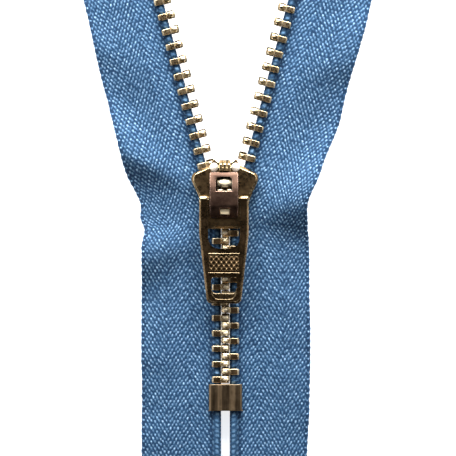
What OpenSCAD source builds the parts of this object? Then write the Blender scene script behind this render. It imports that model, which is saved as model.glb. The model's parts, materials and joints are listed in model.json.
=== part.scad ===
// Metal-tooth garment zipper, half open, with an automatic-lock slider.
// Lies flat: X across the chain, Y along it towards the open end, Z up. Millimetres.

/* [Chain] */
// Spacing of the teeth along one side
pitch = 2.754; // [2.7:0.001:2.8]
// Distance of each cord's centre line from the centre of the closed chain
row_x = 1.58; // [1.56:0.01:1.62]
// Height of the teeth, top to bottom
tooth_h = 2.5; // [2.3:0.05:2.5]
// Length of a tooth's gripping leg along the chain
leg_t = 1.08; // [0.9:0.02:1.15]
// Thickness of a tooth's head along the chain
head_t = 0.88; // [0.8:0.02:0.92]
// Height of the small point on each head
nib_h = 0.46; // [0.3:0.02:0.5]

/* [Cords and tapes] */
// Width of the cord along a tape's inner edge
cord_w = 1.6; // [1.4:0.05:1.6]
// Thickness of the cord
cord_t = 1.1; // [0.9:0.05:1.16]
// Width of one tape from the cord's inner edge to the selvedge
tape_w = 14.3; // [11:0.1:18]
// Thickness of the woven tape
tape_t = 0.56; // [0.4:0.02:0.7]
// Tape beyond the bottom stop
tail_bottom = 15.8; // [8:0.1:25]
// Tape beyond the top stops
tail_top = 16.7; // [8:0.1:25]

/* [Opening] */
// Angle of each open side away from the chain's centre line
open_angle = 14.8; // [14:0.1:15.2]
// Whole tooth spacings that the slider can still travel to the top stops
travel_teeth = 19; // [19:1:19]

/* [Slider] */
// Thickness of the slider's lower blade
blade_low = 0.9; // [0.7:0.05:0.95]
// Thickness of the slider's upper blade
blade_up = 1.0; // [0.9:0.05:1.1]
// Half width of the slider across its shoulders
half_max = 5.95; // [5.8:0.05:6.3]
// Half width of the slider at its rear
half_rear = 3.5; // [3.4:0.05:3.8]
// Gap for the tape between the slider's side flanges
slot_h = 1.0; // [0.9:0.05:1.2]
// Sideways play of the slider on the chain
slider_play = -0.1; // [-0.1:0.05:0.1]

/* [Cap and lock lever] */
// Width of the cap strap
cap_w = 5.0; // [4.6:0.1:5.0]
// Thickness of the cap's metal
cap_t = 0.4; // [0.3:0.02:0.44]
// Width of the lock lever
lever_w = 2.7; // [2.2:0.1:2.8]
// Thickness of the lock lever's strip
lever_t = 0.34; // [0.25:0.01:0.36]

/* [Pull tab] */
// Width of the pull tab across its shoulders
tab_w = 8.82; // [8.4:0.02:9]
// Thickness of the pull tab
tab_t = 1.2; // [1:0.05:1.2]
// Distance from the tab's cross bar to its lower end
tab_reach = 18.6; // [17.5:0.1:20]
// Width of the tab's upper window
window_w = 5.64; // [5.5:0.02:5.8]
// Sideways play of the pull tab on its bar
tab_play = -0.16; // [-0.2:0.02:0.2]

/* [Stops] */
// Width of the bottom stop
stop_w = 5.96; // [5.6:0.02:6.4]
// Length of the bottom stop
stop_len = 4.75; // [3.5:0.05:5]
// Length of each top stop
top_stop_len = 2.8; // [2:0.1:3.4]

/* [Hidden] */
chain_z = 2.25;
chain_gap = 2.7;
blade_top = blade_low + chain_gap + blade_up;
kink_y = -0.25;
seam = 0.06;
edge_u = tape_w - (row_x - 0.765);
leg_u = 0.87;
tip_u = 2.32;
upper_len = travel_teeth * pitch;
left_phase = 1.98;
right_phase = 0.61;
left_below = 11;
right_below = 10;
left_above = 19;
right_above = 19;
left_last = 3;
right_last = 4;
stop_y1 = -29.4;
stop_y0 = stop_y1 - stop_len;
bottom_y = stop_y0 - tail_bottom;
top_stop_v = 10.3;
top_v = upper_len + top_stop_v + top_stop_len + tail_top;
top_y = kink_y + top_v * cos(open_angle) + (row_x - 0.765) * sin(open_angle);
middle_y = (top_y + bottom_y) / 2;
level_u = 4.8;
drop_z = chain_z - tape_t / 2 - 0.02;
rear_y = -1.6;
waist_y = 3.9;
front_y = 9.75;
half_waist = 4.5;
bar_y = 3.7;
bar_r = 0.55;
tab_z = blade_top + 0.12 + tab_t / 2;
pivot_y = 7.55;
pivot_z = blade_top + 0.65;
$fn = 32;

brass = [0.62, 0.50, 0.32];
dark_brass = [0.42, 0.34, 0.24];
gold = [0.85, 0.70, 0.42];
copper = [0.45, 0.31, 0.26];
tape_blue = [0.33, 0.48, 0.63];
cord_blue = [0.42, 0.57, 0.72];

// Sub-part to draw

// ---------- shared shapes ----------

function unit(v) = v / norm(v);

function turn_points(a, b, c, r, n) =
    let (p = unit(a - b),
         q = unit(c - b),
         half = acos(p * q) / 2,
         mid = b + unit(p + q) * r / sin(half),
         s = b + p * r / tan(half),
         e = b + q * r / tan(half),
         a0 = atan2(s[1] - mid[1], s[0] - mid[0]),
         a1 = atan2(e[1] - mid[1], e[0] - mid[0]),
         d = ((a1 - a0 + 540) % 360) - 180)
    [for (i = [0 : n]) mid + r * [cos(a0 + d * i / n), sin(a0 + d * i / n)]];

// a closed outline with each corner i rounded to radius r[i]
function rounded(p, r, n = 5) =
    [for (i = [0 : len(p) - 1])
        each (r[i] > 0
              ? turn_points(p[(i + len(p) - 1) % len(p)], p[i], p[(i + 1) % len(p)], r[i], n)
              : [p[i]])];

function mirrored(p) = concat(p, [for (i = [len(p) - 1 : -1 : 0]) [-p[i][0], p[i][1]]]);

function side_normal(p, i) =
    let (a = p[max(i - 1, 0)],
         b = p[min(i + 1, len(p) - 1)],
         d = unit(b - a))
    [-d[1], d[0]];

// the outline of a bent strip of thickness t along points p
function strip(p, t) =
    concat([for (i = [0 : len(p) - 1]) p[i] + side_normal(p, i) * t / 2],
           [for (i = [len(p) - 1 : -1 : 0]) p[i] - side_normal(p, i) * t / 2]);

// extrudes an X-Z outline along Y
module along_y(y0, y1) {
    translate([0, y1, 0])
        rotate([90, 0, 0])
            linear_extrude(y1 - y0)
                children();
}

// extrudes a Y-Z outline across X
module across_x(x0, x1) {
    translate([x0, 0, 0])
        rotate([90, 0, 90])
            linear_extrude(x1 - x0)
                children();
}

module framed() {
    translate([0, -middle_y, 0])
        children();
}

// u runs outwards from a cord's centre line, v along it
module right_closed() {
    translate([row_x, 0, 0])
        children();
}

module right_open(v = 0) {
    translate([row_x, kink_y, 0])
        rotate([0, 0, -open_angle])
            translate([0, v, 0])
                children();
}

module flip_x() {
    mirror([1, 0, 0])
        children();
}

// ---------- cords and tapes ----------

module cord_outline() {
    side = cord_w / 2 - cord_t / 2;
    translate([0, chain_z]) {
        translate([-side, -cord_t / 2])
            square([2 * side, cord_t]);
        for (s = [-1, 1])
            translate([s * side, 0])
                circle(d = cord_t);
    }
}

module tape_outline() {
    polygon([[0.84, chain_z - tape_t / 2],
             [level_u, chain_z - tape_t / 2],
             [edge_u, chain_z - tape_t / 2 - drop_z],
             [edge_u, chain_z + tape_t / 2 - drop_z],
             [level_u, chain_z + tape_t / 2],
             [0.84, chain_z + tape_t / 2]]);
}

// everything beyond the mitre line through the kink
module above_mitre() {
    translate([0, kink_y, 0])
        rotate([0, 0, -open_angle / 2])
            translate([-5, -seam / 2, -1])
                cube([tape_w + 12, 12, 6]);
}

module below_mitre() {
    rotate([0, 0, open_angle / 2])
        translate([-5, seam / 2 - 12, -1])
            cube([tape_w + 12, 12, 6]);
}

module lower_length() {
    right_closed()
        difference() {
            along_y(bottom_y, 3)
                children();
            above_mitre();
        }
}

module upper_length() {
    right_open()
        difference() {
            along_y(-3, upper_len - seam / 2)
                children();
            below_mitre();
        }
}

module top_length() {
    right_open()
        along_y(upper_len + seam / 2, top_v)
            children();
}

// ---------- teeth ----------

module head_plan() {
    h = head_t / 2;
    polygon([[-0.66, -h], [-1.95, -h], [-2.2, -0.34], [-tip_u, -0.22],
             [-tip_u, 0.22], [-2.2, 0.34], [-1.95, h], [-0.66, h]]);
}

module tooth() {
    z = tooth_h / 2;
    translate([0, 0, chain_z])
        difference() {
            union() {
                along_y(-leg_t / 2, leg_t / 2)
                    polygon([[-0.78, -z], [leg_u - 0.22, -z], [leg_u, 0.28 - z],
                             [leg_u, z - 0.28], [leg_u - 0.22, z], [-0.78, z]]);
                translate([0, 0, 0.2 - z])
                    linear_extrude(2 * z - 0.4)
                        head_plan();
                along_y(-head_t / 2 + 0.04, head_t / 2 - 0.04)
                    polygon([[-1.02, -z + 0.1], [-1.9, -z + 0.1], [-2.12, -z + 0.35],
                             [-2.12, z - 0.35], [-1.9, z - 0.1], [-1.02, z - 0.1]]);
                translate([0, 0, -0.42])
                    linear_extrude(0.84)
                        polygon([[-2.02, head_t / 2 - 0.02], [-1.14, head_t / 2 - 0.02],
                                 [-1.42, head_t / 2 + nib_h], [-1.74, head_t / 2 + nib_h]]);
            }
            translate([-0.83, -2, -0.6])
                cube([3, 4, 1.2]);
            translate([0, 0, -0.6])
                linear_extrude(1.2)
                    polygon([[-2.06, -head_t / 2 - 0.1], [-1.1, -head_t / 2 - 0.1],
                             [-1.32, -head_t / 2 + 0.2], [-1.84, -head_t / 2 + 0.2]]);
        }
}

module teeth(first, count) {
    for (i = [0 : count - 1])
        translate([0, first + i * pitch, 0])
            tooth();
}

// ---------- stops ----------

// the stop's section from the top of its middle round one side to the bottom
function stop_side() =
    let (z = 1.45,
         x = stop_w / 2,
         q = [[0, z - 0.19], [0.45, z - 0.17], [1.1, z - 0.06], [1.7, z], [2.45, z - 0.02],
              [x - 0.14, z - 0.2], [x, z - 0.45], [x, 0.46], [x - 0.06, 0.38], [2.44, 0.38],
              [2.2, 0.66], [0.98, 0.66], [0.69, 0.42]])
    concat(q, [for (i = [len(q) - 1 : -1 : 0]) [q[i][0], -q[i][1]]]);

module bottom_stop_shape() {
    difference() {
        along_y(stop_y0, stop_y1)
            translate([0, chain_z])
                polygon(mirrored(stop_side()));
        for (s = [0, 1])
            mirror([s, 0, 0])
                translate([stop_w / 2 + 0.12, stop_y0 - 0.12, -1])
                    rotate([0, 0, 45])
                        cube([0.4, 0.4, 8], center = true);
    }
}

module top_stop_shape() {
    z = 1.36;
    along_y(top_stop_v, top_stop_v + top_stop_len)
        translate([0, chain_z])
            polygon([[-1.12, -z + 0.3], [-0.86, -z], [0.9, -z], [1.3, -z + 0.35],
                     [1.3, -0.36], [0.95, -0.36], [0.78, -0.64], [-0.84, -0.64],
                     [-0.84, 0.64], [0.78, 0.64], [0.95, 0.36], [1.3, 0.36],
                     [1.3, z - 0.35], [0.9, z], [-0.86, z], [-1.12, z - 0.3]]);
}

// ---------- slider ----------

function rear_plan(e) =
    mirrored([[0, rear_y + e],
              [half_rear - 0.5, rear_y + e],
              [half_rear - 0.14 - e / 2, rear_y + 0.16 + e / 2],
              [half_rear - e, rear_y + 0.5],
              [half_waist - e, waist_y]]);

function front_plan(e) =
    let (r = rounded([[half_waist - e, waist_y],
                      [half_max - e, 7.0],
                      [half_max - e, 8.15 - e / 3],
                      [2.7 - e / 2, front_y - e]],
                     [0, 1.3, 0.9, 0]))
    mirrored(concat([[0, waist_y]], r, [[0, front_y - e]]));

// one blade, its outer face chamfered by c
module blade(t, c) {
    for (part = [0, 1])
        hull() {
            linear_extrude(t - c)
                polygon(part == 0 ? rear_plan(0) : front_plan(0));
            linear_extrude(t)
                polygon(part == 0 ? rear_plan(c * 1.15) : front_plan(c * 1.15));
        }
}

module flange_plan() {
    wall = 2.65;
    difference() {
        union() {
            polygon(rear_plan(0));
            polygon(front_plan(0));
        }
        polygon(mirrored([[0, rear_y - 1],
                          [wall + 0.1, rear_y - 1],
                          [wall, rear_y + 0.8],
                          [wall, kink_y],
                          [wall + (12 - kink_y) * tan(open_angle), 12],
                          [0, 12]]));
    }
}

module neck_plan() {
    polygon(mirrored([[0, 5.1], [0.16, 5.25], [0.62, 7.2], [1.38, 9.75], [1.3, 10.3], [0, 10.5]]));
}

module front_horn() {
    translate([0, 0, blade_low + chain_gap + 0.02])
        linear_extrude(blade_up - 0.3)
            polygon([[0.9, 9.4], [2.72, 9.4], [2.5, 10.0], [2.15, 10.75], [1.85, 10.9],
                     [1.45, 10.4], [0.9, 10.25]]);
}

module rear_lug() {
    translate([-0.78, 0.98, blade_top - 0.1])
        cube([1.56, 0.92, 2.35]);
}

module front_lug() {
    difference() {
        across_x(-0.98, 0.98)
            polygon([[8.72, blade_top - 0.1], [10.62, blade_top - 0.1], [10.72, blade_top + 0.35],
                     [10.5, blade_top + 1.05], [9.9, blade_top + 1.55], [8.72, blade_top + 1.75]]);
        for (x = [-0.37, 0.37])
            translate([x - 0.09, 9.3, blade_top + 0.5])
                cube([0.18, 2, 2]);
    }
}

module slider_body() {
    color(dark_brass)
        framed()
            translate([slider_play, 0, 0])
                difference() {
                    union() {
                        translate([0, 0, blade_low])
                            flip_z()
                                blade(blade_low, 0.3);
                        translate([0, 0, blade_low + chain_gap])
                            blade(blade_up, 0.36);
                        for (z0 = [blade_low - 0.1, chain_z + slot_h / 2])
                            translate([0, 0, z0])
                                linear_extrude(0.1 + (chain_gap - slot_h) / 2)
                                    flange_plan();
                        translate([0, 0, blade_low - 0.1])
                            linear_extrude(chain_gap + 0.2)
                                neck_plan();
                        front_horn();
                        flip_x()
                            front_horn();
                        for (s = [-1, 1])
                            translate([s * 1.95, 9.42, blade_top - 0.22])
                                sphere(r = 0.7, $fn = 20);
                        front_lug();
                        rear_lug();
                        for (s = [-1, 1])
                            translate([s * 1.72 - 0.25, pivot_y - 0.45, blade_top - 0.1])
                                cube([0.5, 0.9, 0.3]);
                    }
                    translate([-0.3, 4.0, blade_low + chain_gap - 0.3])
                        cube([0.8, 1.0, blade_up + 1]);
                }
}

module flip_z() {
    mirror([0, 0, 1])
        children();
}

module slider_cap() {
    t = cap_t;
    color(copper)
        framed()
            translate([slider_play + tab_play, 0, 0])
                difference() {
                    intersection() {
                        across_x(-cap_w / 2, cap_w / 2)
                            polygon(strip([[8.45, blade_top + 0.06], [8.42, 5.6], [8.28, 6.15],
                                           [7.9, 6.42], [5.5, 7.24], [4.9, 7.34], [2.75, 7.34],
                                           [2.3, 7.24], [1.5, 6.62], [0.62, 5.95],
                                           [0.48, 5.6], [0.46, blade_top + 0.06]], t));
                        linear_extrude(9)
                            polygon(mirrored([[0, 0.1], [cap_w / 2 - 0.45, 0.1],
                                              [cap_w / 2, 0.85], [cap_w / 2, 8.35],
                                              [cap_w / 2 - 0.3, 8.75], [0, 8.75]]));
                    }
                    translate([0, 0, 5])
                        linear_extrude(4)
                            polygon(mirrored([[0, 5.08], [1.4, 5.08], [1.46, 5.2], [1.46, 7.25],
                                              [1.1, 7.65], [0, 7.65]]));
                    translate([-0.88 - tab_play, 0.78, 5.9])
                        cube([1.76, 1.3, 2]);
                }
}

module lock_lever() {
    color(gold)
        framed()
            translate([slider_play, 0, 0]) {
                difference() {
                    across_x(-lever_w / 2, lever_w / 2)
                        polygon(strip([[7.55, 5.3], [7.46, 5.62], [7.15, 5.86], [6.7, 6.06],
                                       [6.3, 6.2], [6.02, 6.23], [5.75, 6.02], [5.35, 5.88],
                                       [4.9, 5.98],
                                       [4.5, 6.13], [3.9, 6.17], [3.2, 6.17], [2.75, 6.02],
                                       [2.45, 5.8]], lever_t));
                    translate([0, 0, 5])
                        linear_extrude(3)
                            polygon([[-0.62, 6.12], [0.62, 6.12], [0.05, 5.2], [-0.05, 5.2]]);
                }
                across_x(-2.05, 2.05)
                    translate([pivot_y, pivot_z])
                        circle(r = 0.4, $fn = 40);
                translate([-0.16, 4.42, 3.22])
                    cube([0.5, 0.42, 2.84]);
            }
}

// ---------- pull tab ----------

function tab_plan(e) =
    let (w = tab_w / 2 - e,
         y1 = bar_y - tab_reach + e)
    mirrored(rounded([[0, y1], [3.02 - 0.8 * e, y1], [3.24 - e, y1 + 2.3 - e],
                      [w, bar_y - 6.35], [w, bar_y], [0, bar_y]],
                     [0, 0.95, 0, 3, 0, 0]));

module knurl(w, l) {
    intersection() {
        translate([-w / 2, -l / 2, -0.2])
            cube([w, l, 0.4]);
        for (a = [-38, 38], i = [-5 : 5])
            translate([i * 0.92, 0, 0])
                rotate([0, 0, a])
                    translate([-0.12, -4, -0.15])
                        cube([0.24, 8, 0.3]);
    }
}

module pull_tab() {
    t = tab_t;
    color(dark_brass)
        framed()
            translate([slider_play + tab_play, 0, 0]) {
                difference() {
                    translate([0, 0, tab_z])
                        hull() {
                            translate([0, 0, -t / 2 + 0.22])
                                linear_extrude(t - 0.44)
                                    polygon(tab_plan(0));
                            translate([0, 0, -t / 2])
                                linear_extrude(t)
                                    polygon(tab_plan(0.3));
                        }
                    translate([0, 0, tab_z - 2])
                        linear_extrude(4)
                            polygon(mirrored(rounded([[0, -5.13], [window_w / 2, -5.13],
                                                      [window_w / 2, 3.15], [0, 3.15]],
                                                     [0, 1.9, 0, 0])));
                    translate([0, 0, tab_z - 2])
                        linear_extrude(4)
                            polygon(mirrored(rounded([[0, -13.1], [1.9, -13.1], [2.28, -12.2],
                                                      [2.28, -10.26], [0, -10.26]],
                                                     [0, 0.6, 0.3, 0.45, 0])));
                    translate([0, 0, tab_z + t / 2 - 0.5])
                        linear_extrude(2)
                            polygon(mirrored(rounded([[0, -14.2], [2.1, -14.2],
                                                      [2.28, -12.2], [0, -12.2]],
                                                     [0, 1.35, 0, 0])));
                    translate([-window_w / 2 + 0.1, -9.2, tab_z + t / 2 - 0.14])
                        cube([window_w - 0.2, 2.85, 1]);
                }
                across_x(-window_w / 2 - 0.1, window_w / 2 + 0.1)
                    translate([bar_y, tab_z])
                        circle(r = bar_r, $fn = 40);
                for (s = [0, 1])
                    mirror([s, 0, 0])
                        across_x(window_w / 2, tab_w / 2 - 0.12)
                            translate([bar_y, tab_z])
                                circle(r = t / 2, $fn = 40);
                for (y = [-6.06, -9.48])
                    translate([-window_w / 2, y - 0.14, tab_z + t / 2 - 0.1])
                        cube([window_w, 0.28, 0.22]);
                translate([0, -7.77, tab_z + t / 2 - 0.14])
                    knurl(window_w - 0.3, 2.75);
            }
}

// ---------- one module per sub-part ----------

module right_tape_lower() {
    color(tape_blue) framed() lower_length() tape_outline();
}
module right_tape_upper() {
    color(tape_blue) framed() upper_length() tape_outline();
}
module right_tape_top() {
    color(tape_blue) framed() top_length() tape_outline();
}
module left_tape_lower() {
    flip_x() right_tape_lower();
}
module left_tape_upper() {
    flip_x() right_tape_upper();
}
module left_tape_top() {
    flip_x() right_tape_top();
}
module right_cord_lower() {
    color(cord_blue) framed() lower_length() cord_outline();
}
module right_cord_upper() {
    color(cord_blue) framed() upper_length() cord_outline();
}
module right_cord_top() {
    color(cord_blue) framed() top_length() cord_outline();
}
module left_cord_lower() {
    flip_x() right_cord_lower();
}
module left_cord_upper() {
    flip_x() right_cord_upper();
}
module left_cord_top() {
    flip_x() right_cord_top();
}
module left_teeth_lower() {
    color(brass) framed() flip_x() right_closed()
        teeth(kink_y + left_phase - left_below * pitch, left_below);
}
module left_teeth_upper() {
    color(brass) framed() flip_x() right_open()
        teeth(left_phase, left_above);
}
module left_teeth_top() {
    color(brass) framed() flip_x() right_open(upper_len)
        teeth(left_phase, left_last);
}
module right_teeth_lower() {
    color(brass) framed() right_closed()
        teeth(kink_y + right_phase - right_below * pitch, right_below);
}
module right_teeth_upper() {
    color(brass) framed() right_open()
        teeth(right_phase, right_above);
}
module right_teeth_top() {
    color(brass) framed() right_open(upper_len)
        teeth(right_phase, right_last);
}
module bottom_stop() {
    color(dark_brass) framed() bottom_stop_shape();
}
module right_top_stop() {
    color(dark_brass) framed() right_open(upper_len) top_stop_shape();
}
module left_top_stop() {
    color(dark_brass) flip_x() right_top_stop();
}

left_tape_lower();
left_tape_upper();
left_tape_top();
right_tape_lower();
right_tape_upper();
right_tape_top();
left_cord_lower();
left_cord_upper();
left_cord_top();
right_cord_lower();
right_cord_upper();
right_cord_top();
left_teeth_lower();
left_teeth_upper();
left_teeth_top();
right_teeth_lower();
right_teeth_upper();
right_teeth_top();
bottom_stop();
left_top_stop();
right_top_stop();
slider_body();
slider_cap();
lock_lever();
pull_tab();
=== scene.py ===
import json
import math

import bmesh
import bpy
import numpy as np
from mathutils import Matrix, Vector

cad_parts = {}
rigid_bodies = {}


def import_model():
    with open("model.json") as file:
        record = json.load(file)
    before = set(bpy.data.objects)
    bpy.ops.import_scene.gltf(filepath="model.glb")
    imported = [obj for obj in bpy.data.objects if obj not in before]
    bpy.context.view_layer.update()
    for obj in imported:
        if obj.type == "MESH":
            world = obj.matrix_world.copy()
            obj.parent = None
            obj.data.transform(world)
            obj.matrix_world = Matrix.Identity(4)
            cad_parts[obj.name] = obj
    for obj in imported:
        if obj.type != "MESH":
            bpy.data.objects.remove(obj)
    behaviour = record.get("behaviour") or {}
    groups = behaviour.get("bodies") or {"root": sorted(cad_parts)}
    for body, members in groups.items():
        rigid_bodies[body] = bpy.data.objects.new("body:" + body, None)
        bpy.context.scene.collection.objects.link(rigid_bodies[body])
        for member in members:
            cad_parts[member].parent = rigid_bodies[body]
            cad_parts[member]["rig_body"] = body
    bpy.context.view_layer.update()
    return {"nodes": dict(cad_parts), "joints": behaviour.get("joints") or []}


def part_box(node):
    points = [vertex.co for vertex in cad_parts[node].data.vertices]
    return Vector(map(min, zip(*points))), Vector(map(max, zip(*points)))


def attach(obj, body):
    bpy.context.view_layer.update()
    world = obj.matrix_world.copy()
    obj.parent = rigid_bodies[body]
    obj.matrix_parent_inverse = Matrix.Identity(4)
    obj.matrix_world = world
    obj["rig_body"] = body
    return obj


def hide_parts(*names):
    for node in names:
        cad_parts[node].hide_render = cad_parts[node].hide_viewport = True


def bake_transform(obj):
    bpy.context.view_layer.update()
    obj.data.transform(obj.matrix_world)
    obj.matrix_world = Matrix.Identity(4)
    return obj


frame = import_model()
MM = 0.001

# ---------------------------------------------------------------- places from the frame
joints = {j["name"]: j for j in frame["joints"]}
HINGE = np.array(joints["right_stringer_close"]["pos_m"]) / MM
TOP_HINGE = np.array(joints["right_top_spread"]["pos_m"]) / MM
ROW_X, KINK_Y, CHAIN_Z = HINGE
OPEN = math.radians(joints["right_stringer_close"]["range_deg"][1])
UPPER = math.hypot(TOP_HINGE[0] - HINGE[0], TOP_HINGE[1] - HINGE[1])
low_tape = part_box("right_tape_lower")
# u runs outwards from a cord's centre line and s along the cord from the kink, both in millimetres
END_LOW = low_tape[0].y / MM + 0.05      # the tapes' lower end, along Y
EDGE_U = low_tape[1].x / MM - ROW_X      # the selvedge
START_U = low_tape[0].x / MM - ROW_X     # the inner edge of the plain tape
TAPE_Z0 = low_tape[0].z / MM + 0.28      # height of the selvedge's middle surface
END_TOP = 81.95                          # the tapes' upper end
LEVEL_U = 4.8                            # the tape lies level this far out, then slopes down
THICK = 0.5                              # thickness of the cloth
RAISED = 0.11                            # how far a raised yarn stands out of it
WORK_Y = KINK_Y + 0.25                   # where the slider's own lengthwise measures start
SLIDER_X = -0.1                          # the slider sits this far off the chain's centre
TAB_SHIFT = -0.26                        # and the pull tab this far


def teeth_at(node):
    """The middle of each tooth of a row, in millimetres."""
    mesh = frame["nodes"][node].data
    bm = bmesh.new()
    bm.from_mesh(mesh)
    bmesh.ops.remove_doubles(bm, verts=bm.verts, dist=1e-6)
    seen, out = set(), []
    for v in bm.verts:
        if v in seen:
            continue
        stack, part = [v], []
        seen.add(v)
        while stack:
            w = stack.pop()
            part.append(w.co.copy())
            for e in w.link_edges:
                o = e.other_vert(w)
                if o not in seen:
                    seen.add(o)
                    stack.append(o)
        out.append(sum(part, Vector()) / len(part) / MM)
    bm.free()
    return out


def row_turn(seg):
    """How far a row of teeth is turned out from the chain."""
    return 0.0 if seg == "lower" else OPEN


def in_row(side, seg, x, y):
    """How far out of and how far along its row a point is, in millimetres from the kink."""
    c, sn = math.cos(row_turn(seg)), math.sin(row_turn(seg))
    dx, dy = side * x - ROW_X, y - KINK_Y
    return dx * c - dy * sn, dx * sn + dy * c


def from_row(side, seg, u, s):
    """The x and y of a place u out of and s along a row."""
    c, sn = math.cos(row_turn(seg)), math.sin(row_turn(seg))
    return side * (ROW_X + u * c + s * sn), KINK_Y - u * sn + s * c


# ---------------------------------------------------------------- camera
cam = bpy.data.cameras.new("camera")
cam_obj = bpy.data.objects.new("camera", cam)
bpy.context.scene.collection.objects.link(cam_obj)
DIST, SPAN = 0.52, 0.08208
cam.sensor_width = 36.0
cam.lens = 18.0 / (SPAN / 2 / DIST)
cam.clip_start, cam.clip_end = 0.01, 50.0
cam_obj.location = (0.00046, KINK_Y * MM - 0.00119, DIST)
bpy.context.scene.camera = cam_obj


# ---------------------------------------------------------------- shader arithmetic
class Val:
    """A socket or number that can be used in sums."""

    def __init__(self, tree, sock):
        self.tree, self.sock = tree, sock

    def _op(self, op, *others, clamp=False):
        n = self.tree.nodes.new("ShaderNodeMath")
        n.operation = op
        n.use_clamp = clamp
        for i, x in enumerate((self,) + others):
            x = x.sock if isinstance(x, Val) else x
            if isinstance(x, (int, float)):
                n.inputs[i].default_value = x
            else:
                self.tree.links.new(x, n.inputs[i])
        return Val(self.tree, n.outputs[0])

    def __add__(self, o):
        return self._op("ADD", o)

    def __sub__(self, o):
        return self._op("SUBTRACT", o)

    def __mul__(self, o):
        return self._op("MULTIPLY", o)

    def __truediv__(self, o):
        return self._op("DIVIDE", o)

    def rsub(self, a):
        return Val(self.tree, a)._op("SUBTRACT", self)

    def floor(self):
        return self._op("FLOOR")

    def fract(self):
        return self._op("FRACT")

    def abs(self):
        return self._op("ABSOLUTE")

    def gt(self, o):
        return self._op("GREATER_THAN", o)

    def lt(self, o):
        return self._op("LESS_THAN", o)

    def maxi(self, o):
        return self._op("MAXIMUM", o)

    def mini(self, o):
        return self._op("MINIMUM", o)

    def clamp(self):
        return self._op("ADD", 0.0, clamp=True)

    def step(self, a, b):
        """0 at a, 1 at b, with an eased change between."""
        n = self.tree.nodes.new("ShaderNodeMapRange")
        n.interpolation_type = "SMOOTHSTEP"
        self.tree.links.new(self.sock, n.inputs["Value"])
        n.inputs["From Min"].default_value = a
        n.inputs["From Max"].default_value = b
        return Val(self.tree, n.outputs[0])

    def noise1(self):
        n = self.tree.nodes.new("ShaderNodeTexWhiteNoise")
        n.noise_dimensions = "1D"
        self.tree.links.new(self.sock, n.inputs["W"])
        return Val(self.tree, n.outputs["Value"])


def new_material(name):
    mat = bpy.data.materials.new(name)
    mat.use_nodes = True
    tree = mat.node_tree
    tree.nodes.clear()
    out = tree.nodes.new("ShaderNodeOutputMaterial")
    bsdf = tree.nodes.new("ShaderNodeBsdfPrincipled")
    tree.links.new(bsdf.outputs[0], out.inputs["Surface"])
    return mat, tree, bsdf


def principled(mat):
    return next(n for n in mat.node_tree.nodes if n.type == "BSDF_PRINCIPLED")


def attribute(tree, name):
    n = tree.nodes.new("ShaderNodeAttribute")
    n.attribute_name = name
    return Val(tree, n.outputs["Fac"])


def object_xyz(tree):
    """The place that's being shaded, in metres."""
    tc, cut = tree.nodes.new("ShaderNodeTexCoord"), tree.nodes.new("ShaderNodeSeparateXYZ")
    tree.links.new(tc.outputs["Object"], cut.inputs[0])
    return [Val(tree, cut.outputs[k]) for k in "XYZ"]


def texture(tree, kind, scale, detail=2.0, rough=0.5, stretch=(1, 1, 1), turn=(0, 0, 0)):
    tc = tree.nodes.new("ShaderNodeTexCoord")
    mp = tree.nodes.new("ShaderNodeMapping")
    mp.inputs["Scale"].default_value = stretch
    mp.inputs["Rotation"].default_value = turn
    tree.links.new(tc.outputs["Object"], mp.inputs["Vector"])
    n = tree.nodes.new(kind)
    tree.links.new(mp.outputs[0], n.inputs["Vector"])
    n.inputs["Scale"].default_value = scale
    if "Detail" in n.inputs:
        n.inputs["Detail"].default_value = detail
    if "Roughness" in n.inputs:
        n.inputs["Roughness"].default_value = rough
    return n


def ramp(tree, value, stops):
    n = tree.nodes.new("ShaderNodeValToRGB")
    cr = n.color_ramp
    while len(cr.elements) < len(stops):
        cr.elements.new(0.5)
    for e, (p, c) in zip(cr.elements, stops):
        e.position = p
        e.color = (*c, 1)
    tree.links.new(value.sock if isinstance(value, Val) else value, n.inputs["Fac"])
    return n.outputs["Color"]


def mix(tree, fac, a, b, kind="MIX"):
    n = tree.nodes.new("ShaderNodeMix")
    n.data_type = "RGBA"
    n.blend_type = kind
    for sock, x in ((n.inputs[0], fac), (n.inputs[6], a), (n.inputs[7], b)):
        x = x.sock if isinstance(x, Val) else x
        if isinstance(x, (int, float)):
            sock.default_value = x
        elif isinstance(x, tuple):
            sock.default_value = (*x, 1)
        else:
            tree.links.new(x, sock)
    return n.outputs[2]


def bump(tree, height, strength, distance):
    n = tree.nodes.new("ShaderNodeBump")
    n.inputs["Strength"].default_value = strength
    n.inputs["Distance"].default_value = distance
    tree.links.new(height.sock if isinstance(height, Val) else height, n.inputs["Height"])
    return n.outputs[0]


# ---------------------------------------------------------------- weave
COL = 0.345      # spacing of the lengthwise yarns
REP = 2.46       # repeat of the weave along the tape
WIDE = EDGE_U - START_U
INNER = 0.3      # the cloth starts this far inside its own edge, under the cord
TURN_A, TURN_B = WIDE - 8.7, WIDE - 4.7   # where the herringbone reverses
LEAN = 0.24      # how far each raised yarn leans across as it runs along
FLOATS = ((0.30, 1.0), (-0.80, 0.78))    # where a yarn comes up in each repeat, and how far


def smooth(x):
    x = np.clip(x, 0, 1)
    return x * x * (3 - 2 * x)


def weave_np(u, s):
    """Height 0..1 of the woven surface at u across and s along, in millimetres."""
    best = np.zeros(np.broadcast(u, s).shape)
    for k in (-1, 0, 1):
        col = np.floor(u / COL + 1e-6) + k
        mid = (col + 0.5) * COL
        way = np.where((mid > TURN_A) & (mid < TURN_B), 1.0, -1.0)
        q = (s - way * 0.25 * REP * col) / REP
        t = (q - np.floor(q) - 0.5) * REP
        for c, amount in FLOATS:
            du = u - mid + way * LEAN * (t - c)
            rise = smooth((c + 0.38 - t) / 0.26) * smooth((t - c + 0.40) / 0.4) * amount
            best = np.maximum(best, rise * np.exp(-((du / 0.19) ** 2)))
    return best


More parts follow.
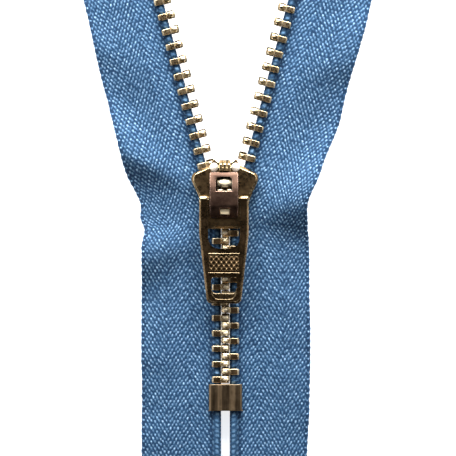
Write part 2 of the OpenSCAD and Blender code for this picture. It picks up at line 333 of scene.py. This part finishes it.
def tape_material():
    mat, t, bsdf = new_material("woven_tape")
    u0, s0 = attribute(t, "weave_u"), attribute(t, "weave_s")
    wob = texture(t, "ShaderNodeTexNoise", 700, 2.0)
    s = s0 + (Val(t, wob.outputs["Fac"]) - 0.5) * 0.5
    sway = texture(t, "ShaderNodeTexNoise", 1300, 1.0, turn=(0.3, 0.8, 0))
    u = u0 + (Val(t, sway.outputs["Fac"]) - 0.5) * 0.16
    light = None
    for k in (-1, 0, 1):
        col = (u / COL).floor() + k
        mid = (col + 0.5) * COL
        way = mid.gt(TURN_A) * mid.lt(TURN_B) * 2.0 - 1.0
        q = (s - way * col * (0.25 * REP)) / REP
        along = (q.fract() - 0.5) * REP
        for c, amount in FLOATS:
            one = (q.floor() * 7.31 + col * 3.77 + c * 11.0).noise1()
            two = (q.floor() * 3.17 + col * 5.91 + 40.0 + c).noise1()
            at = along - c + (two - 0.5) * 0.24
            du = (u - mid + way * at * LEAN).abs()
            # painted highlight: each raised yarn is brightest near its upper end, which faces the light from
            # above, and fades along its tail
            dot = at.step(0.36, 0.16) * (at.step(-0.38, 0.08) * 0.8 + at.step(-0.42, -0.25) * 0.2)
            dot = dot * du.step(0.25, 0.05) * ((one * 0.42 + 0.86) * amount)
            light = dot if light is None else light.maxi(dot)
    fibre = texture(t, "ShaderNodeTexNoise", 3000, 2.0, 0.7, stretch=(1, 0.7, 1))
    soft = texture(t, "ShaderNodeTexNoise", 140, 2.0)
    light = light * 0.68 + (Val(t, fibre.outputs["Fac"]) - 0.5) * 1.0 + 0.078
    # looped selvedge: small dark eyes with a pale thread round each
    inside = (u0.rsub(WIDE) / 0.8).clamp()
    loop = ((s / (REP / 2)).fract() - 0.5).abs()
    band = inside.step(0.95, 0.7)
    eye = loop.step(0.40, 0.22) * inside.step(0.08, 0.3) * band
    rim = loop.step(0.36, 0.48).maxi(inside.step(0.2, 0.02)) * band
    light = light - eye * 0.5 + rim * 0.22
    # painted shade: the cloth is darkened next to its cord
    light = light - u0.step(0.75, 0.12) * 0.24
    turn = (u0 - TURN_A).abs().mini((u0 - TURN_B).abs()).step(0.3, 0.05)
    light = light - turn * 0.05
    light = light + (Val(t, soft.outputs["Fac"]) - 0.5) * 0.07
    colour = ramp(t, light.clamp(), [(0.0, (0.007, 0.033, 0.088)), (0.2, (0.018, 0.065, 0.150)),
                                     (0.6, (0.105, 0.222, 0.380)), (1.0, (0.34, 0.53, 0.76))])
    t.links.new(colour, bsdf.inputs["Base Color"])
    bsdf.inputs["Roughness"].default_value = 0.82
    bsdf.inputs["Specular IOR Level"].default_value = 0.25
    bsdf.inputs["Sheen Weight"].default_value = 0.12
    bsdf.inputs["Sheen Roughness"].default_value = 0.5
    bsdf.inputs["Sheen Tint"].default_value = (0.7, 0.85, 1.0, 1)
    t.links.new(bump(t, light.clamp(), 0.6, 0.00014), bsdf.inputs["Normal"])
    return mat


def cord_material():
    mat, t, bsdf = new_material("beaded_cord")
    u, s, out = attribute(t, "weave_u"), attribute(t, "weave_s"), attribute(t, "outward")
    wob = texture(t, "ShaderNodeTexNoise", 900, 2.0)
    q = s / 0.95 + u * 1.6 + (Val(t, wob.outputs["Fac"]) - 0.5) * 0.8
    row = (u * 5.2 + (Val(t, wob.outputs["Fac"]) - 0.5) * 0.5)
    q = q + row.floor() * 0.37
    bead = (q.fract() - 0.5).abs().step(0.5, 0.08) * (row.fract() - 0.5).abs().step(0.55, 0.1)
    one = (q.floor() * 5.3 + row.floor() * 2.9).noise1()
    fibre = texture(t, "ShaderNodeTexNoise", 5200, 3.0, 0.7)
    light = bead * (one * 0.5 + 0.25) + (Val(t, fibre.outputs["Fac"]) - 0.5) * 0.9 + 0.22
    # painted shade: the cord is darkened along both its sides
    light = light - out.abs().step(0.45, 0.95) * 0.2
    colour = ramp(t, light.clamp(), [(0.0, (0.006, 0.024, 0.062)), (0.3, (0.022, 0.066, 0.14)),
                                     (0.6, (0.070, 0.155, 0.275)), (1.0, (0.18, 0.32, 0.49))])
    t.links.new(colour, bsdf.inputs["Base Color"])
    bsdf.inputs["Roughness"].default_value = 0.85
    bsdf.inputs["Specular IOR Level"].default_value = 0.2
    bsdf.inputs["Sheen Weight"].default_value = 0.06
    bsdf.inputs["Sheen Tint"].default_value = (0.35, 0.6, 1.0, 1)
    t.links.new(bump(t, light.clamp(), 0.6, 0.00015), bsdf.inputs["Normal"])
    return mat


def metal(name, base, deep, rough, scratch=0.35, grain=(1, 1, 1), fine=2600, grain_bump=0.15):
    """A plated metal: mottled plate and fine scratches."""
    mat, t, bsdf = new_material(name)
    big = texture(t, "ShaderNodeTexNoise", 420, 3.0, 0.6)
    small = texture(t, "ShaderNodeTexNoise", fine, 3.0, 0.7, stretch=grain)
    cloud = Val(t, big.outputs["Fac"]).step(0.35, 0.68)
    speck = Val(t, small.outputs["Fac"])
    colour = mix(t, cloud, deep, base)
    colour = mix(t, speck.step(0.42, 0.66) * scratch, colour, tuple(min(1, x * 1.5) for x in base))
    t.links.new(colour, bsdf.inputs["Base Color"])
    bsdf.inputs["Metallic"].default_value = 1.0
    r = speck.step(0.3, 0.8) * 0.14 + (rough - 0.05) + cloud * 0.05
    t.links.new(r.sock, bsdf.inputs["Roughness"])
    t.links.new(bump(t, speck, grain_bump, 0.00004), bsdf.inputs["Normal"])
    return mat


# ---------------------------------------------------------------- where the cloth goes
FAN0, FAN1 = -9.0, 10.0    # the tapes turn from shut to open between these, along the cord from the kink

# ridges across each tape: place along the outer edge from the kink, half length on its far and near side,
# height, and how far behind the cord the ridge's lines meet
WAVES = {
    -1: [(31.5, 7.0, 4.6, 0.9, 60), (13.1, 7.0, 4.6, 2.45, 10), (-6.0, 4.8, 4.6, 2.0, 16),
         (-25.0, 7, 6.5, 0.5, 40), (-41.0, 5, 5, 0.3, 40), (52, 6, 6, 0.4, 60), (68, 6, 6, 0.3, 60)],
    1: [(31.0, 8.0, 6.2, 1.6, 60), (4.3, 9.5, 5.7, 3.8, 14), (-17.0, 6, 6, 0.5, 30),
        (-31.0, 6, 6, 0.35, 40), (53, 6, 6, 0.4, 60), (69, 6, 6, 0.3, 60)],
}
# how far the outer edge is drawn in: place along the cord, half length, amount
DRAWN = {
    -1: [(6.2, 4.2, 1.1), (16.0, 6.0, -0.1), (3.6, 1.7, -0.3), (-0.5, 2.0, 0.4), (44.0, 9.0, 0.5),
         (-30.0, 9.0, 0.1), (-24, 6, -0.1)],
    1: [(6.6, 4.9, 1.6), (14.5, 4.0, 0.55), (39.0, 7.5, -0.4), (22.0, 3.5, -0.3), (-22.0, 8.0, -0.2),
        (-42.0, 5.0, 0.4)],
}


def bumps(y, places):
    return sum(h * np.exp(-(((y - c) / w) ** 2)) for c, w, h in places)


def centre(s):
    """The right cord's centre line."""
    return ROW_X + np.maximum(s, 0) * math.sin(OPEN), KINK_Y + np.where(s > 0, s * math.cos(OPEN), s)


def place(side, u, s):
    """A point of the tape's middle surface, u outwards and s along its cord, in millimetres."""
    cx, cy = centre(s)
    turn = -OPEN * smooth((s - FAN0) / (FAN1 - FAN0))
    shrink = 1 - bumps(s, DRAWN[side]) * smooth((u - 2.5) / (EDGE_U - 2.5)) / EDGE_U
    v = u * shrink
    x = cx + v * np.cos(turn)
    y = cy + v * np.sin(turn)
    z = CHAIN_Z - np.maximum(u - LEVEL_U, 0) * (CHAIN_Z - TAPE_Z0) / (EDGE_U - LEVEL_U)
    far = smooth((u - 1.0) / (EDGE_U + 2.0)) ** 0.8
    for c, w_far, w_near, h, back in WAVES[side]:
        ye = (y - KINK_Y) * (EDGE_U + back) / (u + back)
        z = z + far * h * np.exp(-(((ye - c) / np.where(ye > c, w_far, w_near)) ** 2))
    z = z + far * 0.05 * np.sin((y - KINK_Y) * 0.9 + 1.7 * side)
    return np.stack([side * x, y, z], -1)


def mesh_object(name, verts, faces, mats):
    me = bpy.data.meshes.new(name)
    me.from_pydata([tuple(v) for v in verts], [], [tuple(f) for f in faces])
    me.validate()
    me.update()
    for m in mats:
        me.materials.append(m)
    ob = bpy.data.objects.new(name, me)
    bpy.context.scene.collection.objects.link(ob)
    me.polygons.foreach_set("use_smooth", np.ones(len(me.polygons), bool))
    return ob


def float_attribute(ob, name, values):
    a = ob.data.attributes.new(name, "FLOAT", "POINT")
    a.data.foreach_set("value", np.asarray(values, np.float32).ravel())


def grid_faces(n, m, first=0, flip=False, wrap=False):
    i, j = np.meshgrid(np.arange(n - 1), np.arange(m if wrap else m - 1), indexing="ij")
    j1 = (j + 1) % m
    q = np.stack([i * m + j, i * m + j1, (i + 1) * m + j1, (i + 1) * m + j], -1).reshape(-1, 4) + first
    return q[:, ::-1] if flip else q


def tape(name, side, s0, s1):
    du, ds = COL / 3, REP / 14
    nu, ns = int(round((WIDE + INNER) / du)) + 1, int(round((s1 - s0) / ds)) + 1
    u = np.linspace(-INNER, WIDE, nu)
    s = np.linspace(s0, s1, ns)
    S, U = np.meshgrid(s, u, indexing="ij")
    rng = np.random.default_rng(7 + side)
    wob = np.convolve(rng.normal(0, 1, 4000), np.ones(5) / 5, "same")
    at = wob[np.clip(((S - END_LOW) / ds).astype(int) + 20, 0, 3999)]
    scallop = 0.10 * np.abs(np.sin(np.pi * S / (REP / 2))) - 0.06 + 0.05 * at
    edge = smooth((U - WIDE + 0.55) / 0.55)
    Uo = START_U + U + scallop * edge
    h = weave_np(U, S)
    half = THICK / 2 - 0.06
    roll = 0.3 * smooth((U - WIDE + 0.62) / 0.2) * smooth((WIDE - 0.12 - U) / 0.2)
    thin = 1 - 0.25 * smooth((U - WIDE + 0.2) / 0.2) + roll
    top = place(side, Uo, S)
    gx = np.gradient(top, axis=1)
    gy = np.gradient(top, axis=0)
    nrm = np.cross(gx, gy) * side
    nrm /= np.linalg.norm(nrm, axis=-1, keepdims=True)
    front = top + nrm * (half * thin + RAISED * h)[..., None]
    back = top - nrm * (half * thin + RAISED * weave_np(U + COL, S + REP / 2))[..., None]
    verts = np.concatenate([front.reshape(-1, 3), back.reshape(-1, 3)]) * MM
    n = ns * nu
    right = side > 0
    faces = [grid_faces(ns, nu, 0, flip=right), grid_faces(ns, nu, n, flip=not right)]
    i = np.arange(ns - 1)
    j = np.arange(nu - 1)
    last = (ns - 1) * nu
    walls = [
        np.stack([i * nu, (i + 1) * nu, (i + 1) * nu + n, i * nu + n], -1),
        np.stack([(i + 1) * nu - 1, (i + 1) * nu - 1 + n, (i + 2) * nu - 1 + n, (i + 2) * nu - 1], -1),
        np.stack([j, j + n, j + 1 + n, j + 1], -1),
        np.stack([last + j, last + j + 1, last + j + 1 + n, last + j + n], -1),
    ]
    for w in walls:
        faces.append(w[:, ::-1] if right else w)
    ob = mesh_object(name, verts, np.concatenate(faces), [TAPE_MAT])
    ob.data.set_sharp_from_angle(angle=math.radians(75))
    float_attribute(ob, "weave_u", np.concatenate([U.ravel(), U.ravel() + COL]))
    float_attribute(ob, "weave_s", np.concatenate([S.ravel(), S.ravel() + REP / 2]))
    return ob


def cord(name, side, s0, s1, teeth):
    ds, m = 0.17, 28
    ns = int(round((s1 - s0) / ds)) + 1
    s = np.linspace(s0, s1, ns)
    a = np.linspace(0, 2 * np.pi, m, endpoint=False)
    S, A = np.meshgrid(s, a, indexing="ij")
    near = np.min(np.abs(S[..., None] - np.array(teeth)), -1)
    free = smooth((near - 0.50) / 0.42)
    ru = 0.80 + 0.018 * free
    rz = 0.53 + 0.34 * free
    rib = 0.035 * free * np.sin(2 * np.pi * (S / 0.66 + A / (2 * np.pi) * 2))
    rib = rib + 0.02 * free * np.sin(S * 23.0 + 3 * A)
    U = (ru + np.minimum(rib, 0.008)) * np.cos(A)
    Z = (rz + rib) * np.sin(A)
    cx, cy = centre(S)
    turn = -OPEN * smooth((S + 0.6) / 1.2)
    x = cx + U * np.cos(turn)
    y = cy + U * np.sin(turn)
    v = np.stack([side * x, y, CHAIN_Z + Z], -1).reshape(-1, 3) * MM
    right = side > 0
    ends = []
    for k in (0, ns - 1):
        ring = list(k * m + np.arange(m))
        ends.append(ring if (k == 0) == right else ring[::-1])
    faces = list(grid_faces(ns, m, flip=not right, wrap=True)) + ends
    ob = mesh_object(name, v, faces, [CORD_MAT])
    float_attribute(ob, "weave_u", A.ravel() / (2 * np.pi) * 1.05)
    float_attribute(ob, "weave_s", S.ravel())
    float_attribute(ob, "outward", np.cos(A).ravel())
    return ob


TAPE_MAT, CORD_MAT = tape_material(), cord_material()
MID, SEAM = 17.0, 41.6    # where each tape is divided
STOP_S = 10.3             # start of the top stop, beyond the upper hinge
BOTTOM_S = -29.4          # top of the bottom stop
SIDES, ROWS = ((-1, "left"), (1, "right")), ("lower", "upper", "top")
for side, word in SIDES:
    rows = [in_row(side, seg, p.x, p.y)[1] for seg in ROWS for p in teeth_at(f"{word}_teeth_{seg}")]
    for part, s0, s1 in (("low", END_LOW - KINK_Y, MID), ("mid", MID, SEAM), ("end", SEAM, END_TOP)):
        cloth = tape(f"{word}_tape_{part}_cloth", side, s0, s1)
        if part == "low":
            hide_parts(f"{word}_tape_lower", f"{word}_tape_upper")
            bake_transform(cloth)
        elif part == "mid":
            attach(cloth, f"{word}_stringer")
        else:
            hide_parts(f"{word}_tape_top")
            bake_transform(cloth)
    squeezed = rows + [UPPER + STOP_S + x for x in (0.3, 1.0, 1.7, 2.4)]
    squeezed += [BOTTOM_S - x for x in (0.2, 0.9, 1.6, 2.3, 3.0, 3.7, 4.3)]
    low = cord(f"{word}_cord", side, END_LOW - KINK_Y + 0.05, SEAM, squeezed)
    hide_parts(f"{word}_cord_lower", f"{word}_cord_upper")
    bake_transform(low)
    end = cord(f"{word}_cord_end", side, SEAM, END_TOP - 0.1, squeezed)
    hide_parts(f"{word}_cord_top")
    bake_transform(end)


# ---------------------------------------------------------------- metal pieces
def refined(node, width, face_mat, edge_mat, segments=2, angle=28, weight=None, keep=None, zones=(), domes=(),
            steps=(), extra=None, more=()):
    """The CAD solid of a node with its edges rounded, brighter where they're rounded: edge wear and a painted
    highlight.

    Materials 0 and 1 are the faces' and the edges'. Those of more or of zones come next: domes take the
    first, steps the second.
    """
    src = frame["nodes"][node]
    bm = bmesh.new()
    bm.from_mesh(src.data)
    bmesh.ops.remove_doubles(bm, verts=bm.verts, dist=8e-6)
    bmesh.ops.dissolve_degenerate(bm, edges=bm.edges, dist=8e-6)
    free = [e for e in bm.edges if keep is None or not keep((e.verts[0].co + e.verts[1].co) / 2 / MM)]
    bmesh.ops.dissolve_limit(bm, angle_limit=math.radians(0.6), verts=[] if keep else bm.verts, edges=free)
    layer = bm.edges.layers.float.new("bevel_weight_edge")
    for e in bm.edges:
        if len(e.link_faces) == 2 and e.calc_face_angle(0) > math.radians(angle):
            at = (e.verts[0].co + e.verts[1].co) / 2 / MM
            if keep is None or not keep(at):
                e[layer] = 1.0 if weight is None else weight(at)
    for at, radii in domes:
        made = bmesh.ops.create_uvsphere(bm, u_segments=20, v_segments=12, radius=MM)["verts"]
        for v in made:
            v.co = Vector(v.co[i] * radii[i] + at[i] * MM for i in range(3))
        for f in {f for v in made for f in v.link_faces}:
            f.material_index = 2
    for ring in steps:
        low, high = ([bm.verts.new(Vector((x, y, CHAIN_Z + dz)) * MM) for x, y in ring] for dz in (-0.8, 0.8))
        made = [bm.faces.new(high), bm.faces.new(low[::-1])]
        made += [bm.faces.new((low[i - 1], low[i], high[i], high[i - 1])) for i in (1, 2, 3, 4, 5, 0)]
        bmesh.ops.recalc_face_normals(bm, faces=made)
        for f in made:
            f.material_index = 3
    if extra:
        extra(bm)
    for f in bm.faces:
        f.smooth = True
    me = bpy.data.meshes.new(node + "_plain")
    bm.to_mesh(me)
    bm.free()
    me.materials.append(face_mat)
    me.materials.append(edge_mat)
    ob = bpy.data.objects.new(node + "_finished", me)
    bpy.context.scene.collection.objects.link(ob)
    m = ob.modifiers.new("edges", "BEVEL")
    m.limit_method, m.width, m.segments, m.material = "WEIGHT", width * MM, segments, 1
    m.offset_type, m.use_clamp_overlap, m.loop_slide = "OFFSET", False, True
    m.miter_outer = "MITER_SHARP"
    dg = bpy.context.evaluated_depsgraph_get()
    done = bpy.data.meshes.new_from_object(ob.evaluated_get(dg))
    ob.modifiers.clear()
    ob.data = done
    done.name = node + "_finished"
    done.polygons.foreach_set("use_smooth", np.ones(len(done.polygons), bool))
    done.set_sharp_from_angle(angle=math.radians(38))
    for mat in more:
        done.materials.append(mat)
    for i, (inside, mat) in enumerate(zones):
        done.materials.append(mat)
        for f in done.polygons:
            if inside(f.center / MM, f.normal):
                f.material_index = 2 + i
    w = ob.modifiers.new("normals", "WEIGHTED_NORMAL")
    w.keep_sharp = True
    w.weight = 60
    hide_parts(node)
    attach(ob, src["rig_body"])
    return ob


# every part has a brass for its faces and a brighter one for its rounded edges, partly edge wear and partly a
# painted highlight
tooth_face = metal("tooth_brass", (0.26, 0.17, 0.09), (0.11, 0.07, 0.035), 0.30, 0.3, fine=3000)
tooth_edge = metal("tooth_edge_wear_and_highlight", (0.90, 0.74, 0.50), (0.62, 0.47, 0.28), 0.26, 0.2)
# painted highlight: pale brass for the domes on the teeth's heads, those of the shut chain glowing a little
dome_highlight = metal("tooth_dome_highlight", (1.0, 0.86, 0.60), (0.90, 0.72, 0.46), 0.36, 0.1)
# painted shade: a near-black brass for the steps between the heads
gap_shade = metal("tooth_gap_shade", (0.10, 0.068, 0.036), (0.04, 0.026, 0.014), 0.38, 0.3)
# painted reflection: the open rows' brass is painted lighter than the shut chain's
open_lit_face = metal("tooth_open_lit_brass", (0.52, 0.39, 0.235), (0.23, 0.162, 0.088), 0.27, 0.35, fine=3000,
                  grain_bump=0.4)
open_dome_highlight = metal("tooth_open_dome_highlight", (0.70, 0.56, 0.36), (0.36, 0.27, 0.155), 0.28, 0.2)
stop_face = metal("stop_brushed", (0.34, 0.245, 0.15), (0.20, 0.14, 0.085), 0.33, 0.45, grain=(1, 0.05, 1),
                  fine=1700)
stop_edge = metal("stop_rim", (0.34, 0.26, 0.17), (0.22, 0.16, 0.10), 0.3, 0.2)
slider_face = metal("slider_brass", (0.245, 0.163, 0.083), (0.105, 0.069, 0.034), 0.28, 0.4, fine=1900,
                    grain_bump=0.4)
slider_edge = metal("slider_edge_wear_and_highlight", (0.76, 0.60, 0.36), (0.48, 0.35, 0.19), 0.22, 0.25)
# painted highlight: the slider's round shoulders are near white and glow a little
lobe_highlight = metal("lobe_painted_highlight", (1.0, 0.96, 0.88), (0.97, 0.90, 0.78), 0.50, 0.1)
cap_face = metal("cap_copper", (0.165, 0.10, 0.073), (0.10, 0.059, 0.044), 0.37, 0.3)
cap_edge = metal("cap_edge_wear_and_highlight", (0.42, 0.28, 0.22), (0.26, 0.16, 0.12), 0.22, 0.25)
lever_face = metal("lever_gold", (0.98, 0.87, 0.62), (0.90, 0.76, 0.50), 0.26, 0.2, grain_bump=0.03)
tab_face = metal("tab_brass", (0.175, 0.115, 0.060), (0.068, 0.045, 0.023), 0.28, 0.4)
tab_edge = metal("tab_rim", (0.46, 0.36, 0.22), (0.26, 0.19, 0.11), 0.24, 0.25)
# the rear lug is given a brighter brass that is half diffuse
lug_face = metal("lug_brightened", (1.0, 0.84, 0.56), (0.86, 0.68, 0.42), 0.40, 0.2)
principled(lug_face).inputs["Metallic"].default_value = 0.5
# painted highlight: a pale brass that glows a little, for the lever's rounded tops
lever_painted_highlight = metal("lever_painted_highlight", (1.0, 0.90, 0.66), (0.94, 0.82, 0.58), 0.36, 0.15, grain_bump=0.03)
# painted highlights: the brightest parts also glow a little
for mat, share, warm, glow in ((lobe_highlight, 0.2, (1.0, 0.93, 0.78, 1), 0.26),
                               (dome_highlight, 0.65, (1.0, 0.93, 0.78, 1), 0.06),
                               (lever_painted_highlight, 0.5, (1.0, 0.88, 0.62, 1), 0.16)):
    node = principled(mat)
    node.inputs["Metallic"].default_value = share
    node.inputs["Emission Color"].default_value = warm
    node.inputs["Emission Strength"].default_value = glow


def shaded(mat, value, stops):
    """Multiply a metal's colour by greys that are placed along a value."""
    bsdf = principled(mat)
    old = bsdf.inputs["Base Color"].links[0].from_socket
    greys = ramp(mat.node_tree, value, [(at, (grey,) * 3) for at, grey in stops])
    mat.node_tree.links.new(mix(mat.node_tree, 1.0, old, greys, "MULTIPLY"), bsdf.inputs["Base Color"])


def paint_shade(mat, where):
    """Paint shade on a metal of the slider: darken it where the given place says, in millimetres."""
    x, y, z = (v / MM for v in object_xyz(mat.node_tree))
    shaded(mat, where(x, y - WORK_Y, z).rsub(1.0).clamp(), [(0.0, 0), (1.0, 1)])


def under_cap(x, y, z):
    return (x - SLIDER_X).abs().step(2.35, 2.15) * y.step(2.3, 2.6) * y.step(8.3, 8.0) * z.step(5.4, 5.2)


# painted reflections: two bright bands across the stops
shaded(stop_face, object_xyz(stop_face.node_tree)[0] / 0.006 + 0.5, (
    (0.0, 0.5), (0.22, 0.55), (0.28, 1.9), (0.37, 1.7), (0.42, 0.6), (0.60, 0.62), (0.65, 1.6), (0.76, 1.5),
    (0.82, 0.55), (1.0, 0.5)))
# painted shade under the cap, on the cap forward of its hump, and on the lever apart from its painted
# highlights
paint_shade(slider_face, lambda x, y, z: under_cap(x, y, z) * 0.78)
paint_shade(cap_face, lambda x, y, z: y.step(4.9, 5.5) * 0.48)
paint_shade(lever_face, lambda x, y, z: y.step(4.9, 5.1) * 0.80)
LOBE_X, LOBE_Y = 1.95, 9.42    # the slider's two round shoulders
TIP_U = 2.31                   # how far in from its cord's centre line a tooth reaches
HEAD_U = -1.62                 # the middle of a locking head
TAB_TOP = 5.92                 # upper face of the pull tab's panel


def arm_ends(at, n):
    """The two ends of the pull tab's arms, given a painted highlight."""
    return abs(at.x - TAB_SHIFT) > 2.75 and at.y - WORK_Y > 3.72 and at.z > 5.3


def rear_lug(at, n):
    return abs(at.x) < 0.95 and 0.9 < at.y - WORK_Y < 2.0 and at.z > 5.2


def lobes(at, n):
    dx, dy = abs(abs(at.x - SLIDER_X) - LOBE_X), abs(at.y - WORK_Y - LOBE_Y)
    return dx < 0.78 and dy < 0.8 and at.z > 4.45 and n.z < 0.999


def head_rounding(side, seg):
    """Teeth: the locking head is rounded more than the legs that clasp the cord."""
    def rule(at):
        u = in_row(side, seg, at.x, at.y)[0]
        if u < -2.0:
            return 0.3
        up = at.z > CHAIN_Z + 1.0
        return (1.9 if up else 1.2) if u < -0.85 else 1.0
    return rule


def in_knurl(at):
    """The top of the pull tab's panel."""
    return abs(at.x - TAB_SHIFT) < 2.74 and -9.04 < at.y - KINK_Y < -6.01 and at.z > 5.5


def heads(word, side, seg):
    """A rounded dome on each tooth's locking head, which carries a painted highlight."""
    out = []
    for p in teeth_at(f"{word}_teeth_{seg}"):
        x, y = from_row(side, seg, HEAD_U, in_row(side, seg, p.x, p.y)[1])
        out.append(((x, y + 0.02, CHAIN_Z + 0.98), (0.50, 0.37, 0.36)))
    return out


def ledges(word, side, seg):
    """The low step of each head that closes the chain behind the locking nib, painted dark as shade between
    the heads.
    """
    tip, back, foot, top = -2.30, -0.9, 0.30, 0.78
    corners = ((tip, foot), (tip, top - 0.1), (-2.1, top), (-1.05, top), (back, top - 0.1), (back, foot))
    out = []
    for p in teeth_at(f"{word}_teeth_{seg}"):
        s = in_row(side, seg, p.x, p.y)[1]
        out.append([from_row(side, seg, u, s + v) for u, v in corners])
    return out


def within_tips(ob, side, seg):
    """Keep the rounded heads inside the length that the teeth really have."""
    turn = row_turn(seg)
    for v in ob.data.vertices:
        past = -TIP_U - in_row(side, seg, v.co.x / MM, v.co.y / MM)[0]
        if past > 0:
            v.co += Vector((side * math.cos(turn), -math.sin(turn), 0)) * (past * MM)
    return ob


for side, word in SIDES:
    for seg in ROWS:
        face, dome = (tooth_face, dome_highlight) if seg == "lower" else (open_lit_face, open_dome_highlight)
        fitted = {} if seg == "top" else {"weight": head_rounding(side, seg), "domes": heads(word, side, seg),
                                          "steps": ledges(word, side, seg)}
        teeth = refined(f"{word}_teeth_{seg}", 0.11, face, tooth_edge, segments=3, more=(dome, gap_shade),
                        **fitted)
        within_tips(teeth, side, seg)
    refined(f"{word}_top_stop", 0.12, stop_face, stop_edge)
refined("bottom_stop", 0.10, stop_face, stop_edge, angle=50)
lobe_at = [((k * LOBE_X + SLIDER_X, WORK_Y + LOBE_Y, 4.42), (0.78, 0.78, 0.74)) for k in (-1, 1)]
refined("slider_body", 0.08, slider_face, slider_edge, domes=lobe_at,
                zones=[(lobes, lobe_highlight), (rear_lug, lug_face)])
refined("slider_cap", 0.07, cap_face, cap_edge)
# the lever's rounded tops, which carry its painted highlight
lever_highlight_domes = [((SLIDER_X, WORK_Y + 6.55, 6.04), (1.34, 0.74, 0.36)),
        ((-0.92, WORK_Y + 5.26, 5.90), (0.50, 0.30, 0.28)), ((0.72, WORK_Y + 5.26, 5.90), (0.50, 0.30, 0.28))]
refined("lock_lever", 0.06, lever_face, lever_face, domes=lever_highlight_domes, more=(lever_painted_highlight,))


def grip(bm):
    """A diamond pattern pressed into the panel of the pull tab, in place of plain flats."""
    mids = [(f, f.calc_center_median()) for f in bm.faces]
    gone = [f for f, at in mids if in_knurl(at / MM) and at.z / MM > TAB_TOP - 0.3]
    bmesh.ops.delete(bm, geom=gone, context="FACES")
    cx, cy, w, l = TAB_X, WORK_Y - 7.775, 5.44, 2.85
    lean, spacing, ridge = 0.78, 0.90, 0.19
    nx, ny = 91, 49
    vs = []
    for j in range(ny):
        for i in range(nx):
            x, y = (i / (nx - 1) - 0.5) * w, (j / (ny - 1) - 0.5) * l
            h = 0.0
            for k in (-1, 1):
                d = (x + k * y * lean) / spacing
                d = abs(d - math.floor(d) - 0.5) * spacing * 0.79
                h = max(h, math.cos(min(1.0, d / ridge) * math.pi / 2) ** 1.2)
            rim = min(1.0, (w / 2 - abs(x)) / 0.2, (l / 2 - abs(y)) / 0.2)
            z = TAB_TOP - 0.15 + 0.17 * h * max(0.0, rim) - (0.12 if rim <= 0 else 0)
            vs.append(bm.verts.new(Vector((cx + x, cy + y, z)) * MM))
    for j in range(ny - 1):
        for i in range(nx - 1):
            a, b = j * nx + i, (j + 1) * nx + i
            bm.faces.new((vs[a], vs[a + 1], vs[b + 1], vs[b]))


TAB_X = (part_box("pull_tab")[0].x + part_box("pull_tab")[1].x) / 2 / MM
# the arm ends take the bright edge brass as a painted highlight
refined("pull_tab", 0.08, tab_face, tab_edge, keep=in_knurl, zones=[(arm_ends, slider_edge)],
                extra=grip)

# ---------------------------------------------------------------- floor, lights, world
fm, ft, fb = new_material("floor")
fn = texture(ft, "ShaderNodeTexNoise", 3.0, 2.0)
white = ramp(ft, fn.outputs["Fac"], [(0.0, (0.93, 0.93, 0.93)), (1.0, (0.97, 0.97, 0.97))])
ft.links.new(white, fb.inputs["Base Color"])
fb.inputs["Roughness"].default_value = 0.9
fb.inputs["Emission Color"].default_value = (1, 1, 1, 1)
fb.inputs["Emission Strength"].default_value = 0.75
bpy.ops.mesh.primitive_plane_add(size=6, location=(0, 0, -0.00002))
floor = bpy.context.object
floor.name = "floor"
floor.data.materials.append(fm)


LIT = (0, -0.005, 0)    # the lamps point here


def area(name, loc, size, power, colour=(1, 1, 1)):
    li = bpy.data.lights.new(name, "AREA")
    li.shape = "RECTANGLE"
    li.size, li.size_y = size
    li.energy = power
    li.color = colour
    ob = bpy.data.objects.new(name, li)
    bpy.context.scene.collection.objects.link(ob)
    ob.location = loc
    ob.rotation_euler = (Vector(LIT) - Vector(loc)).to_track_quat("-Z", "Y").to_euler()


area("key", (0.0, 0.285, 0.155), (0.46, 0.17), 4.75, (1.0, 0.985, 0.96))
area("fill_left", (-1.1, 0.1, 0.50), (0.9, 0.4), 4.0)
area("fill_right", (1.1, 0.3, 0.50), (0.9, 0.4), 3.5)

world = bpy.data.worlds.new("studio")
bpy.context.scene.world = world
world.use_nodes = True
wt = world.node_tree
bg = wt.nodes["Background"]
tc = wt.nodes.new("ShaderNodeTexCoord")
sep = wt.nodes.new("ShaderNodeSeparateXYZ")
wt.links.new(tc.outputs["Generated"], sep.inputs[0])
wy = Val(wt, sep.outputs["Y"])
sky = ramp(wt, wy * 0.5 + 0.5, [
    (0.0, (0.05, 0.045, 0.04)), (0.40, (0.07, 0.06, 0.05)), (0.49, (0.12, 0.11, 0.10)),
    (0.54, (0.33, 0.31, 0.29)), (0.62, (0.62, 0.61, 0.6)), (0.8, (0.9, 0.9, 0.9))])
wt.links.new(sky, bg.inputs["Color"])
bg.inputs["Strength"].default_value = 0.60
bpy.context.scene.view_settings.view_transform = "Standard"
bpy.context.scene.view_settings.look = "None"
